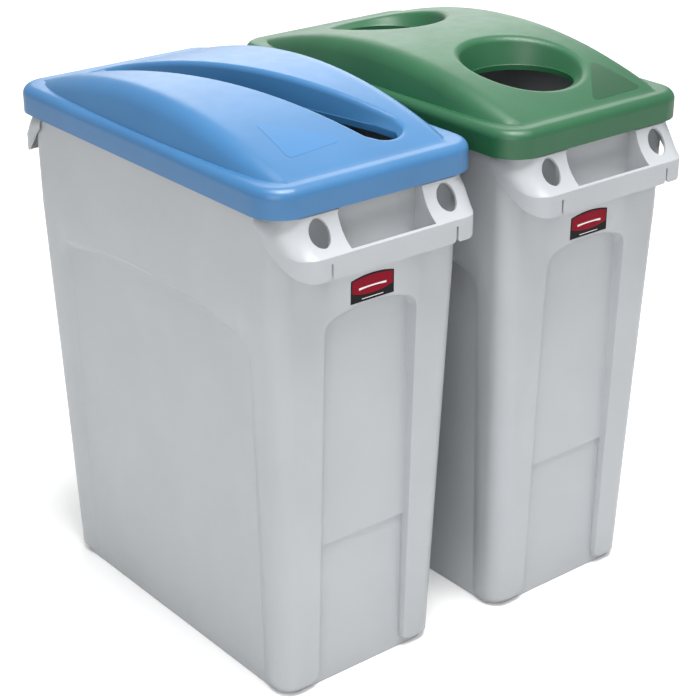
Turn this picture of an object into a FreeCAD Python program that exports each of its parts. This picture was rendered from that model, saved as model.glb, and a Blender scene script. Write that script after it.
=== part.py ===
import FreeCAD
import Part

import math
import os

# Recycling bin station: two slim tapered waste bins that stand side by side.
# The left bin takes paper through a long slot, the right bin takes bottles through two
# round holes.  Each bin is a moulded tub with a grip frame at both ends, a loose moulded
# lid that rests on the tub's rim, and a printed label stuck on the front wall.
# Millimetres.  +Z up, -Y is the front of both bins, the origin is on the floor under the
# middle of the station.

V = FreeCAD.Vector

# ---- station ----
BIN_GAP = 32.2               # between the two lids
BIN_STAGGER = 12.0           # the bottle bin stands this much further forward

# ---- tub: outside sizes at three heights ----
RIM_HEIGHT = 632.0
SHOULDER_HEIGHT = 480.0      # the walls taper below it and are almost upright above it
TUB_BASE_WIDTH = 226.0
TUB_BASE_LENGTH = 462.0
TUB_SHOULDER_WIDTH = 260.0
TUB_SHOULDER_LENGTH = 490.0
TUB_TOP_WIDTH = 262.0
TUB_TOP_LENGTH = 494.0
TUB_CORNER_R = 26.0
TUB_WALL = 3.0
TUB_FLOOR = 4.0
PLINTH_HEIGHT = 9.0          # the foot under the corner columns
PLINTH_SETBACK = 4.0

# ---- recessed panels between the corner columns ----
END_PANEL_WIDTH = 130.0
END_PANEL_HEIGHT = 481.0     # floor to the top of its arch
END_PANEL_ARCH = 14.0        # rise of the arch over its span
END_PANEL_CORNER_R = 10.0
END_PANEL_DEPTH_TOP = 11.0   # behind the column face, at the arch
END_PANEL_DEPTH_BASE = 4.0
GRIP_LEDGE_HEIGHT = 188.0    # below it the panel is deeper, so that fingers find an edge
GRIP_LEDGE_DEPTH = 2.0
SIDE_PANEL_LENGTH = 398.0
SIDE_PANEL_HEIGHT = 469.0
SIDE_PANEL_ARCH = 22.0
SIDE_PANEL_CORNER_R = 20.0
SIDE_PANEL_DEPTH_TOP = 8.0
SIDE_PANEL_DEPTH_BASE = 4.0

# ---- lid ----
LID_CORNER_R = 30.0
LID_HEIGHT = 32.0            # foot of the skirt to the flat margin
LID_SHOULDER_R = 11.0        # rounding between skirt and margin
LID_WALL = 3.0
LID_FIT = 1.2                # play between skirt and rim, each side
LID_SEAT_GAP = 0.3           # under the margin, where it rests on the rim
DOME_RISE = 42.0             # top of the dome above the margin
DOME_END_MARGIN = 20.85      # flat margin beyond each end of the dome
DOME_SIDE_MARGIN = 40.65     # edge of the lid to the flat across the dome's top
DOME_EDGE_R = 25.0
DOME_SIDE_DRAFT = 18.0       # degrees from upright, below the rounding
MOUTH_FLOOR_RISE = 6.0       # slot and hole mouths narrow down to this level above the margin
MOUTH_COLLAR = 6.0           # upright collar under each mouth

# ---- paper slot ----
SLOT_ANGLE = 16.4            # degrees, across the lid's length
SLOT_END_MARGIN = 48.0       # end of the dome to the centre of each rounded end
SLOT_RADIUS = 23.0           # half the clear width
SLOT_FLARE = 6.0             # wider by this, each side, at the top of the dome

# ---- bottle holes ----
HOLE_SPACING = 242.0
HOLE_RADIUS = 63.5
HOLE_FLARE = 7.0

# ---- rim and grip frames ----
RIM_SIDE_OVERHANG = 8.45     # rim outside the tub's long sides
RIM_END_OVERHANG = 7.65      # rim outside the front and back
RIM_FLANGE = 3.2
RIM_LIP_DROP = 16.0
RIM_LIP_WALL = 2.6
GRIP_PROJECTION = 25.55      # grip bar's outer face beyond the lid's skirt
GRIP_ROOT_SETBACK = 0.85     # the sloping flange starts this far inside the skirt's face
GRIP_ROOT_GAP = 1.3          # under the foot of the lid's skirt
GRIP_ROOT_DROP = 5.0         # foot of the skirt to the start of the slope
GRIP_FOLD_DROP = 40.0        # foot of the skirt to the fold
GRIP_SKIRT = 25.0            # height of the grip bar
GRIP_HOLLOW = 4.4            # how far the flange sags below a straight slope
GRIP_WALL = 3.0
WING_WIDTH = 31.0            # the rounded wings take this much at each side of the tub
WING_DEPTH = 70.4            # grip bar's face to the wing tips, on the sides of the tub
WING_BULGE = 3.0             # wing tip outside the tub's side
WING_TIP_DROP = 10.0         # what is left of the slope at the tip, where the fold has climbed
WING_TIP_SKIRT = 3.0
WING_STATIONS = 9
FLANGE_STEPS = 6
HAND_OPENING_MARGIN = 73.0   # side of the tub to the hand opening
HAND_OPENING_LINTEL = 4.6    # left between the hand opening and the start of the slope
HAND_OPENING_CORNER_R = 6.0
GUSSET_WALL = 3.0
GUSSET_FOOT = 6.0            # gusset ends this far above the foot of the grip bar
CINCH_MARGIN = 44.6          # side of the tub to the middle of each liner cinch hole
CINCH_DROP = 21.5            # foot of the skirt to the middle of the cinch hole
CINCH_WIDTH = 26.0
CINCH_LENGTH = 33.0
CINCH_TILT = 34.0            # degrees the flange leans from upright there
SLIT_MARGIN = 45.0           # side of the tub to the slit in the bar's skirt
SLIT_WIDTH = 2.6
SLIT_HEIGHT = 18.0

# ---- label ----
LABEL_WIDTH = 60.0
LABEL_HEIGHT = 26.0          # at its sides
LABEL_ARCH = 4.5
LABEL_THICKNESS = 0.4
LABEL_GAP = 3.0              # above the shoulder line

# ---- sizes and levels that follow ----
LID_WIDTH = TUB_TOP_WIDTH + 2 * (RIM_SIDE_OVERHANG + LID_FIT + LID_WALL)
LID_LENGTH = TUB_TOP_LENGTH + 2 * (RIM_END_OVERHANG + LID_FIT + LID_WALL)
BIN_PITCH = LID_WIDTH + BIN_GAP
DOME_LENGTH = LID_LENGTH - 2 * DOME_END_MARGIN
DOME_TOP_WIDTH = LID_WIDTH - 2 * DOME_SIDE_MARGIN
SLOT_REACH = DOME_LENGTH / 2 - SLOT_END_MARGIN
GRIP_REACH = LID_LENGTH / 2 + GRIP_PROJECTION
GRIP_ROOT_REACH = LID_LENGTH / 2 - GRIP_ROOT_SETBACK
WING_TIP_REACH = GRIP_REACH - WING_DEPTH
WING_START = TUB_TOP_WIDTH / 2 - WING_WIDTH
WING_RISE = GRIP_FOLD_DROP - GRIP_ROOT_DROP - WING_TIP_DROP
HAND_OPENING_WIDTH = TUB_TOP_WIDTH - 2 * HAND_OPENING_MARGIN
CINCH_OFFSET = TUB_TOP_WIDTH / 2 - CINCH_MARGIN
SLIT_OFFSET = TUB_TOP_WIDTH / 2 - SLIT_MARGIN
LID_MARGIN_Z = RIM_HEIGHT + LID_SEAT_GAP + LID_WALL
LID_FOOT_Z = LID_MARGIN_Z - LID_HEIGHT
RIM_WIDTH = LID_WIDTH - 2 * (LID_WALL + LID_FIT)
RIM_LENGTH = LID_LENGTH - 2 * (LID_WALL + LID_FIT)
RIM_CORNER_R = LID_CORNER_R - LID_WALL - LID_FIT
RIM_EDGE_R = LID_SHOULDER_R - LID_WALL + LID_FIT
MOUTH_Z = LID_MARGIN_Z + MOUTH_FLOOR_RISE
FAR = 40.0                   # how far cutting tools run past what they cut


def rounded_rectangle(width, length, radius, z):
    """Closed wire of a rectangle with round corners, centred on the Z axis."""
    half_w = width / 2
    half_l = length / 2
    corners = [(half_w, -half_l, -90), (half_w, half_l, 0), (-half_w, half_l, 90), (-half_w, -half_l, 180)]
    edges = []
    ends = []
    for x, y, start in corners:
        cx = x - math.copysign(radius, x)
        cy = y - math.copysign(radius, y)
        points = []
        for turn in (start, start + 45, start + 90):
            angle = math.radians(turn)
            points.append(V(cx + radius * math.cos(angle), cy + radius * math.sin(angle), z))
        ends.append(points)
    for index, points in enumerate(ends):
        following = ends[(index + 1) % 4]
        edges.append(Part.Arc(*points).toShape())
        edges.append(Part.LineSegment(points[2], following[0]).toShape())
    return Part.Wire(edges)


def stadium(reach, radius, z):
    """Closed wire of a slot with round ends, along Y."""
    left = V(-radius, reach, z)
    right = V(radius, reach, z)
    left_low = V(-radius, -reach, z)
    right_low = V(radius, -reach, z)
    edges = [
        Part.Arc(right, V(0, reach + radius, z), left).toShape(),
        Part.LineSegment(left, left_low).toShape(),
        Part.Arc(left_low, V(0, -reach - radius, z), right_low).toShape(),
        Part.LineSegment(right_low, right).toShape(),
    ]
    return Part.Wire(edges)


def prism(points, direction):
    """Solid swept from a closed outline of points."""
    return Part.Face(Part.makePolygon(points + points[:1])).extrude(direction)


def loft(wires):
    """Solid with straight rulings from wire to wire."""
    return Part.makeLoft(wires, True, True)


def rounded_top(block, radius):
    """Rounds the edges of a block's top face."""
    top = block.BoundBox.ZMax - 0.001
    return block.makeFillet(radius, [edge for edge in block.Edges if edge.BoundBox.ZMin > top])


def wall_at(z, base, shoulder, top):
    """Half the outside size of the tub at height z."""
    if z < SHOULDER_HEIGHT:
        return (base + (shoulder - base) * z / SHOULDER_HEIGHT) / 2
    share = (z - SHOULDER_HEIGHT) / (RIM_HEIGHT - SHOULDER_HEIGHT)
    return (shoulder + (top - shoulder) * share) / 2


def half_width(z):
    return wall_at(z, TUB_BASE_WIDTH, TUB_SHOULDER_WIDTH, TUB_TOP_WIDTH)


def half_length(z):
    return wall_at(z, TUB_BASE_LENGTH, TUB_SHOULDER_LENGTH, TUB_TOP_LENGTH)


def tub_envelope(inset, low, high):
    """Solid inside of the tapered walls, moved in by inset."""
    wires = []
    for z in (low, SHOULDER_HEIGHT, high):
        width = 2 * (half_width(z) - inset)
        length = 2 * (half_length(z) - inset)
        wires.append(rounded_rectangle(width, length, TUB_CORNER_R - inset, z))
    return loft(wires)


def panel_outline(width, height, arch, corner_r, grow):
    """Face in the XZ plane: straight sides down past the floor, an arched top, round corners."""
    half = width / 2 + grow
    top = height + grow
    side_top = top - arch
    chord_slope = math.atan2(arch, half)
    cut = corner_r * math.tan(math.radians(45) - chord_slope / 2)
    arc_x = half - cut
    arc_z = side_top + arch * (1 - (arc_x / half) ** 2)
    knee = V(half - cut * 0.3, 0, side_top - cut * 0.3 + arch * 0.1)
    low_right = V(half, 0, -FAR)
    low_left = V(-half, 0, -FAR)
    side_right = V(half, 0, side_top - cut)
    side_left = V(-half, 0, side_top - cut)
    edges = [
        Part.LineSegment(low_left, low_right).toShape(),
        Part.LineSegment(low_right, side_right).toShape(),
        Part.Arc(side_right, knee, V(arc_x, 0, arc_z)).toShape(),
        Part.Arc(V(arc_x, 0, arc_z), V(0, 0, top), V(-arc_x, 0, arc_z)).toShape(),
        Part.Arc(V(-arc_x, 0, arc_z), V(-knee.x, 0, knee.z), side_left).toShape(),
        Part.LineSegment(side_left, low_left).toShape(),
    ]
    return Part.Face(Part.Wire(edges))


def panel_tool(width, height, arch, corner_r, half_size, depth_base, depth_top, grow):
    """What is cut away in front of a recessed panel on the -Y side."""
    outline = panel_outline(width, height, arch, corner_r, grow)
    outline.translate(V(0, -half_size(height) - FAR, 0))
    block = outline.extrude(V(0, 2 * FAR, 0))
    base_y = -(half_size(0) - depth_base) + grow
    top_y = -(half_size(height) - depth_top) + grow
    slope = (top_y - base_y) / height
    over = height + FAR
    outside = -half_size(height) - 2 * FAR
    x = width / 2 + FAR
    side = [
        V(-x, outside, -FAR),
        V(-x, base_y - slope * FAR, -FAR),
        V(-x, base_y + slope * over, over),
        V(-x, outside, over),
    ]
    return block.common(prism(side, V(2 * x, 0, 0)))


def end_panel_tool(grow):
    size = (END_PANEL_WIDTH, END_PANEL_HEIGHT, END_PANEL_ARCH, END_PANEL_CORNER_R)
    upper = panel_tool(*size, half_length, END_PANEL_DEPTH_BASE, END_PANEL_DEPTH_TOP, grow)
    deep_base = END_PANEL_DEPTH_BASE + GRIP_LEDGE_DEPTH
    deep_top = END_PANEL_DEPTH_TOP + GRIP_LEDGE_DEPTH
    lower = panel_tool(*size, half_length, deep_base, deep_top, grow)
    reach = TUB_SHOULDER_LENGTH
    below = Part.makeBox(2 * reach, 2 * reach, GRIP_LEDGE_HEIGHT + grow + FAR)
    below.translate(V(-reach, -reach - TUB_WALL, -FAR))
    return upper.fuse(lower.common(below))


def side_panel_tool(grow):
    size = (SIDE_PANEL_LENGTH, SIDE_PANEL_HEIGHT, SIDE_PANEL_ARCH, SIDE_PANEL_CORNER_R)
    return panel_tool(*size, half_width, SIDE_PANEL_DEPTH_BASE, SIDE_PANEL_DEPTH_TOP, grow)


def panel_tools(grow):
    """The four panels, set round the Z axis."""
    tools = []
    for turn, tool in ((0, end_panel_tool(grow)), (90, side_panel_tool(grow))):
        for half_turn in (0, 180):
            copy = tool.copy()
            copy.rotate(V(0, 0, 0), V(0, 0, 1), turn + half_turn)
            tools.append(copy)
    return tools


def wing_point(centre_x, semi_x, semi_y, turn):
    """Plan point on a wing's quarter ellipse: turn 0 is the front, 90 is the tip."""
    angle = math.radians(turn)
    return centre_x + semi_x * math.sin(angle), -WING_TIP_REACH - semi_y * math.cos(angle)


def wing_fold_z(turn):
    """The fold runs level along the front and climbs towards the tip."""
    fold = LID_FOOT_Z - GRIP_FOLD_DROP
    lead = 35.0
    if turn <= lead:
        return fold
    return fold + WING_RISE * ((turn - lead) / (90 - lead)) ** 1.6


def wing_skirt(turn):
    """Height of the skirt: full at the front, running out at the tip."""
    share = max(math.cos(math.radians(turn)), 0.0) ** 0.75
    return max(GRIP_SKIRT * share, WING_TIP_SKIRT)


def grip_section(fold, root, depth, fold_z, skirt, hollow):
    """Closed upright outline of the grip frame: solid, or open from below when hollow."""
    root_z = LID_FOOT_Z - GRIP_ROOT_DROP
    top_z = LID_FOOT_Z - GRIP_ROOT_GAP
    out = V(fold[0] - root[0], fold[1] - root[1], 0)
    run = out.Length
    out.normalize()
    rise = root_z - fold_z
    chord = math.hypot(run, rise)
    sag = GRIP_HOLLOW * min(chord / 43.0, 1.0)
    outer = [(-depth, top_z), (0, top_z)]
    inner = [(-depth, top_z - GRIP_WALL)]
    for step in range(FLANGE_STEPS, -1, -1):
        share = step / FLANGE_STEPS
        dip = 4 * sag * share * (1 - share)
        distance = run * (1 - share) - dip * rise / chord
        height = fold_z + rise * share - dip * run / chord
        outer.append((distance, height))
        inner_distance = distance - GRIP_WALL * rise / chord
        inner_height = min(height - GRIP_WALL * run / chord, top_z - GRIP_WALL - 0.01)
        if step == 0:
            inner_distance = run - GRIP_WALL
            inner_height = fold_z - GRIP_WALL * run / (chord + rise)
        inner.append((max(inner_distance, -depth), inner_height))
    outer.append((run, fold_z - skirt))
    inner.append((max(run - GRIP_WALL, -depth), fold_z - skirt))
    if hollow:
        outline = outer + inner[::-1]
    else:
        outline = outer + [(-depth, fold_z - skirt)]
    points = [V(root[0], root[1], height) + out * distance for distance, height in outline]
    return Part.makePolygon(points + points[:1])


def grip_body(hollow):
    """The front grip frame from wing tip to wing tip."""
    side = half_width(LID_FOOT_Z)
    wall = half_length(LID_FOOT_Z)
    turns = [90 * step / WING_STATIONS for step in range(WING_STATIONS + 1)]
    sections = []
    for turn in reversed(turns):
        fold = wing_point(WING_START, side + WING_BULGE - WING_START, GRIP_REACH - WING_TIP_REACH, turn)
        root = wing_point(WING_START, side - WING_START, GRIP_ROOT_REACH - WING_TIP_REACH, turn)
        depth = TUB_WALL / 2 + (GRIP_ROOT_REACH - wall) * math.cos(math.radians(turn))
        sections.append((fold, root, depth, wing_fold_z(turn), wing_skirt(turn)))
    wires = []
    for mirror in (1, -1):
        row = sections if mirror == 1 else reversed(sections)
        for fold, root, depth, fold_z, skirt in row:
            plan = [(mirror * point[0], point[1]) for point in (fold, root)]
            wires.append(grip_section(*plan, depth, fold_z, skirt, hollow))
    return loft(wires)


def grip_frame():
    """The front grip frame: sloping flange, grip bar, wings, hand opening and cinch holes."""
    solid = grip_body(False)
    shell = grip_body(True)
    fold_z = LID_FOOT_Z - GRIP_FOLD_DROP
    foot_z = fold_z - GRIP_SKIRT
    wall_y = -half_length(LID_FOOT_Z)
    half = HAND_OPENING_WIDTH / 2
    for x in (half, -half - GUSSET_WALL):
        gusset = Part.makeBox(GUSSET_WALL, GRIP_REACH + wall_y + TUB_WALL, LID_FOOT_Z - foot_z - GUSSET_FOOT)
        gusset.translate(V(x, -GRIP_REACH, foot_z + GUSSET_FOOT))
        shell = shell.fuse(gusset.common(solid))

    opening_top = LID_FOOT_Z - GRIP_ROOT_DROP - HAND_OPENING_LINTEL + TUB_WALL
    opening_y = -GRIP_REACH + GRIP_WALL
    opening = Part.makeBox(HAND_OPENING_WIDTH, wall_y - opening_y, opening_top - foot_z + FAR)
    opening.translate(V(-half, opening_y, foot_z - FAR))
    top_edges = [edge for edge in opening.Edges if edge_is(edge, "Y") and edge.CenterOfMass.z > fold_z]
    shell = shell.cut(opening.makeFillet(HAND_OPENING_CORNER_R, top_edges))

    for side in (1, -1):
        shell = shell.cut(cinch_tool(side))
        slit = Part.makeBox(SLIT_WIDTH, 2 * GRIP_WALL, SLIT_HEIGHT + 1)
        slit.translate(V(side * SLIT_OFFSET - SLIT_WIDTH / 2, -GRIP_REACH - GRIP_WALL / 2, foot_z - 1))
        shell = shell.cut(slit)
    return shell


def edge_is(edge, axis):
    """True for a straight edge along that axis."""
    box = edge.BoundBox
    spans = {"X": box.XLength, "Y": box.YLength, "Z": box.ZLength}
    longest = max(spans, key=spans.get)
    others = [length for name, length in spans.items() if name != longest]
    return longest == axis and max(others) < 0.001


def cinch_tool(side):
    """Oval cutter square to the flange, one on each side of the hand opening."""
    tilt = math.radians(CINCH_TILT)
    normal = V(0, -math.cos(tilt), math.sin(tilt))
    along = V(0, math.sin(tilt), math.cos(tilt))
    run = GRIP_REACH - GRIP_ROOT_REACH
    slope_share = (CINCH_DROP - GRIP_ROOT_DROP) / (GRIP_FOLD_DROP - GRIP_ROOT_DROP)
    centre_y = -GRIP_ROOT_REACH - run * slope_share + GRIP_HOLLOW
    centre = V(side * CINCH_OFFSET, centre_y, LID_FOOT_Z - CINCH_DROP)
    ends = [centre + along * (CINCH_LENGTH / 2), centre + V(CINCH_WIDTH / 2, 0, 0)]
    oval = Part.Ellipse(ends[0], ends[1], centre).toShape()
    face = Part.Face(Part.Wire([oval]))
    face.translate(normal * -8.0)
    return face.extrude(normal * 24.0)


def rim():
    """Rounded rim with a turned-down lip, which the lid's skirt covers."""
    lip_foot = RIM_HEIGHT - RIM_LIP_DROP
    block = Part.Face(rounded_rectangle(RIM_WIDTH, RIM_LENGTH, RIM_CORNER_R, lip_foot))
    block = rounded_top(block.extrude(V(0, 0, RIM_LIP_DROP)), RIM_EDGE_R)
    width = RIM_WIDTH - 2 * RIM_LIP_WALL
    length = RIM_LENGTH - 2 * RIM_LIP_WALL
    room = Part.Face(rounded_rectangle(width, length, RIM_CORNER_R - RIM_LIP_WALL, lip_foot - 1))
    room = rounded_top(room.extrude(V(0, 0, RIM_LIP_DROP - RIM_FLANGE + 1)), RIM_EDGE_R - RIM_FLANGE)
    return block.cut(room)


def rim_bridge():
    """Wall that carries the rim's lip down to the grip frame's upper edge."""
    low = LID_FOOT_Z - GRIP_ROOT_GAP - GRIP_WALL
    high = RIM_HEIGHT - RIM_LIP_DROP + RIM_LIP_WALL
    length = 2 * WING_START
    bridge = Part.makeBox(length, RIM_LIP_WALL, high - low)
    bridge.translate(V(-length / 2, -RIM_LENGTH / 2, low))
    return bridge


def tub():
    """One moulding: tapered walls with recessed panels, floor, rim and two grip frames."""
    outside = tub_envelope(0, 0, RIM_HEIGHT - RIM_FLANGE / 2)
    width = 2 * (half_width(0) - PLINTH_SETBACK)
    length = 2 * (half_length(0) - PLINTH_SETBACK)
    plinth = Part.Face(rounded_rectangle(width, length, TUB_CORNER_R - PLINTH_SETBACK, 0))
    band = Part.makeBox(2 * width, 2 * length, PLINTH_HEIGHT)
    band.translate(V(-width, -length, 0))
    outside = outside.cut(band.cut(plinth.extrude(V(0, 0, PLINTH_HEIGHT))))
    for tool in panel_tools(0):
        outside = outside.cut(tool)

    front = grip_frame().fuse(rim_bridge())
    back = front.mirror(V(0, 0, 0), V(0, 1, 0))
    body = outside.fuse([rim(), front, back])

    cavity = tub_envelope(TUB_WALL, TUB_FLOOR, RIM_HEIGHT + 1)
    inset_floor = Part.Face(
        rounded_rectangle(
            width - 2 * TUB_WALL, length - 2 * TUB_WALL, TUB_CORNER_R - PLINTH_SETBACK - TUB_WALL, 0
        )
    )
    low_room = inset_floor.extrude(V(0, 0, PLINTH_HEIGHT + TUB_WALL))
    low_band = Part.makeBox(2 * width, 2 * length, PLINTH_HEIGHT + TUB_WALL)
    low_band.translate(V(-width, -length, 0))
    cavity = cavity.cut(low_band.cut(low_room))
    for tool in panel_tools(TUB_WALL):
        cavity = cavity.cut(tool)
    return body.cut(cavity).removeSplitter()


def dome_section(y, inset):
    """Upright outline across the dome at y: flat top, round edges, drafted sides."""
    share = 1 - (2 * y / DOME_LENGTH) ** 2
    height = max(DOME_RISE * share, 0.2)
    radius = DOME_EDGE_R - inset
    half_top = DOME_TOP_WIDTH / 2
    full_turn = 90 - DOME_SIDE_DRAFT
    full_drop = DOME_EDGE_R * (1 - math.cos(math.radians(full_turn)))
    base = LID_MARGIN_Z - LID_WALL - inset
    top = LID_MARGIN_Z + height - inset
    turn = full_turn
    if height < full_drop:
        turn = math.degrees(math.acos(1 - height / DOME_EDGE_R))
    right = []
    steps = 5
    for step in range(steps + 1):
        angle = math.radians(turn * step / steps)
        right.append((half_top + radius * math.sin(angle), top - radius * (1 - math.cos(angle))))
    foot_x = right[-1][0] + (right[-1][1] - base) * math.tan(math.radians(90 - max(turn, full_turn)))
    right.append((foot_x, base))
    left = [(-x, z) for x, z in reversed(right)]
    points = [V(x, y, z) for x, z in right + left]
    return Part.makePolygon(points + points[:1])


def dome(inset):
    """Low arch along the lid, with long rounded edges."""
    stations = 14
    half = DOME_LENGTH / 2 - inset
    wires = [dome_section(-half + 2 * half * step / stations, inset) for step in range(stations + 1)]
    return loft(wires)


def slot_mouth(grow, low):
    """Cutter for the paper slot, flared towards the top of the dome."""
    top = LID_MARGIN_Z + DOME_RISE + FAR
    flare = SLOT_FLARE * (top - MOUTH_Z) / DOME_RISE
    upper = loft([stadium(SLOT_REACH, SLOT_RADIUS + grow, MOUTH_Z), stadium(SLOT_REACH, SLOT_RADIUS + grow + flare, top)])
    lower = Part.Face(stadium(SLOT_REACH, SLOT_RADIUS + grow, low)).extrude(V(0, 0, MOUTH_Z - low))
    mouth = upper.fuse(lower)
    mouth.rotate(V(0, 0, 0), V(0, 0, 1), SLOT_ANGLE)
    return [mouth]


def hole_mouths(grow, low):
    """Cutters for the two bottle holes, flared towards the top of the dome."""
    top = LID_MARGIN_Z + DOME_RISE + FAR
    flare = HOLE_FLARE * (top - MOUTH_Z) / DOME_RISE
    mouths = []
    for y in (-HOLE_SPACING / 2, HOLE_SPACING / 2):
        upper = Part.makeCone(HOLE_RADIUS + grow, HOLE_RADIUS + grow + flare, top - MOUTH_Z, V(0, y, MOUTH_Z))
        lower = Part.makeCylinder(HOLE_RADIUS + grow, MOUTH_Z - low, V(0, y, low))
        mouths.append(upper.fuse(lower))
    return mouths


def lid(mouths):
    """Loose lid: skirt, flat margin, arched dome and the mouths that waste goes in by."""
    skirt = Part.Face(rounded_rectangle(LID_WIDTH, LID_LENGTH, LID_CORNER_R, LID_FOOT_Z))
    block = rounded_top(skirt.extrude(V(0, 0, LID_HEIGHT)), LID_SHOULDER_R)
    outside = block.fuse(dome(0))
    for tool in mouths(0, LID_FOOT_Z - FAR):
        outside = outside.cut(tool)

    width = LID_WIDTH - 2 * LID_WALL
    length = LID_LENGTH - 2 * LID_WALL
    room = Part.Face(rounded_rectangle(width, length, LID_CORNER_R - LID_WALL, LID_FOOT_Z - 1))
    room = rounded_top(room.extrude(V(0, 0, LID_HEIGHT - LID_WALL + 1)), LID_SHOULDER_R - LID_WALL)
    room = room.fuse(dome(LID_WALL))
    collar_foot = MOUTH_Z - MOUTH_COLLAR
    for tool in mouths(LID_WALL, collar_foot):
        room = room.cut(tool)
    return outside.cut(room)


def label():
    """Printed label with an arched top, flat on the front wall above the shoulder."""
    low = SHOULDER_HEIGHT + LABEL_GAP
    high = low + LABEL_HEIGHT
    half = LABEL_WIDTH / 2
    y = -half_length(low) - FAR / 2
    edges = [
        Part.LineSegment(V(half, y, high), V(half, y, low)).toShape(),
        Part.LineSegment(V(half, y, low), V(-half, y, low)).toShape(),
        Part.LineSegment(V(-half, y, low), V(-half, y, high)).toShape(),
        Part.Arc(V(-half, y, high), V(0, y, high + LABEL_ARCH), V(half, y, high)).toShape(),
    ]
    block = Part.Face(Part.Wire(edges)).extrude(V(0, FAR, 0))
    over = high + LABEL_ARCH + 1
    sheet = [
        V(-half - 1, -half_length(low - 1), low - 1),
        V(-half - 1, -half_length(over), over),
        V(-half - 1, -half_length(over) - LABEL_THICKNESS, over),
        V(-half - 1, -half_length(low - 1) - LABEL_THICKNESS, low - 1),
    ]
    return block.common(prism(sheet, V(LABEL_WIDTH + 2, 0, 0)))


def placed(shape, side):
    """Moves a piece to its bin: side -1 is the paper bin, 1 is the bottle bin."""
    copy = shape.copy()
    copy.translate(V(side * BIN_PITCH / 2, -side * BIN_STAGGER / 2, 0))
    return copy


os.makedirs("parts", exist_ok=True)
bin_tub = tub()
bin_label = label()
pieces = {
    "paper_tub": placed(bin_tub, -1),
    "paper_label": placed(bin_label, -1),
    "paper_lid": placed(lid(slot_mouth), -1),
    "bottle_tub": placed(bin_tub, 1),
    "bottle_label": placed(bin_label, 1),
    "bottle_lid": placed(lid(hole_mouths), 1),
}
for node, shape in pieces.items():
    print(node, "solids", len(shape.Solids), "valid", shape.isValid(), "volume", round(shape.Volume))
    shape.exportStep("parts/" + node + ".step")
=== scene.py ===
import math

import bmesh
import bpy
from mathutils import Matrix, Vector


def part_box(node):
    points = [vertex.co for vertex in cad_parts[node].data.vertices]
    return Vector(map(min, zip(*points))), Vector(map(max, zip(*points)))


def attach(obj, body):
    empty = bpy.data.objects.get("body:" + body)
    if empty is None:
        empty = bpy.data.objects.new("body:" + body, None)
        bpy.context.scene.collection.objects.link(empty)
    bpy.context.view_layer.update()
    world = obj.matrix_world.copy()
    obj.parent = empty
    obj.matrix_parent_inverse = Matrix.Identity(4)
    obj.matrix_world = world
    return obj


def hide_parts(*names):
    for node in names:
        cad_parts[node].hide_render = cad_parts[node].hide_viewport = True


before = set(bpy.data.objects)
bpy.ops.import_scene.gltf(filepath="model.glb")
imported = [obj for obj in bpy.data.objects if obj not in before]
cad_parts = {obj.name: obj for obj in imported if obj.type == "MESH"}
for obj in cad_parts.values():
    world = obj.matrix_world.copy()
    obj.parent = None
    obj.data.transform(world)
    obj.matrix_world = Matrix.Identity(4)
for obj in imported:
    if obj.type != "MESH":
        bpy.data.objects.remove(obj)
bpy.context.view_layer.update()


# ---------------------------------------------------------------------------------------
# The grey tubs.  Each tub is one injection moulding in pale grey polyethylene: tapered
# walls with soft recessed panels, a set-back foot, and a turned-down rim.  The grip frames
# at both ends come out of the same mould and are joined on further down.
# ---------------------------------------------------------------------------------------
_, tub_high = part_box("paper_tub")
lid_low, lid_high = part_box("paper_lid")
bin_centres = {}
for side in ("paper", "bottle"):
    low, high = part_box(side + "_lid")
    bin_centres[side] = Vector(((low.x + high.x) / 2, (low.y + high.y) / 2, 0))

RIM_Z = tub_high.z
SHOULDER_Z = 0.486
FOOT_Z = 0.009
BELOW_Z = -0.030
WALL = 0.003
TUB_HALF = {"base": (0.1130, 0.2310), "shoulder": (0.1300, 0.2450), "top": (0.1310, 0.2470)}
TUB_CORNER = 0.026
RIM_REACH = 0.00545
RIM_ROUND = 0.0060
RIM_LIP_Z = RIM_Z - 0.016


def clear_selection():
    """Nothing is selected in object mode."""
    if bpy.context.object and bpy.context.object.mode != "OBJECT":
        bpy.ops.object.mode_set(mode="OBJECT")
    bpy.ops.object.select_all(action="DESELECT")


def pick(kind, test):
    """Selects the corners, edges or faces that pass the test, in edit mode."""
    bpy.ops.mesh.select_mode(type=kind)
    bpy.ops.mesh.select_all(action="DESELECT")
    cage = bmesh.from_edit_mesh(bpy.context.object.data)
    cage.normal_update()
    parts = {"VERT": cage.verts, "EDGE": cage.edges, "FACE": cage.faces}[kind]
    for part in [part for part in parts if test(part)]:
        part.select_set(True)
    cage.select_flush_mode()
    bmesh.update_edit_mesh(bpy.context.object.data)


def middle(edge):
    """Middle of an edge."""
    return (edge.verts[0].co + edge.verts[1].co) / 2


def move_picked(place):
    """Moves each selected corner to place(corner)."""
    cage = bmesh.from_edit_mesh(bpy.context.object.data)
    for corner in cage.verts:
        if corner.select:
            corner.co = Vector(place(corner.co.copy()))
    bmesh.update_edit_mesh(bpy.context.object.data)


def slice_picked(kind_test, place, normal):
    """Cuts the picked faces with a plane."""
    pick("FACE", kind_test)
    bpy.ops.mesh.bisect(plane_co=place, plane_no=normal)


def apply_modifier(kind, **settings):
    """Adds a modifier to the active piece and applies it."""
    bpy.ops.object.modifier_add(type=kind)
    modifier = bpy.context.object.modifiers[-1]
    for name, value in settings.items():
        setattr(modifier, name, value)
    bpy.ops.object.modifier_apply(modifier=modifier.name)


def outward(place, corner):
    """Level direction out of a round-cornered wall at this place."""
    half_x, half_y = TUB_HALF["top"]
    x = max(abs(place.x) - (half_x - corner), 0) * math.copysign(1, place.x)
    y = max(abs(place.y) - (half_y - corner), 0) * math.copysign(1, place.y)
    return Vector((x, y, 0)).normalized()


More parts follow.
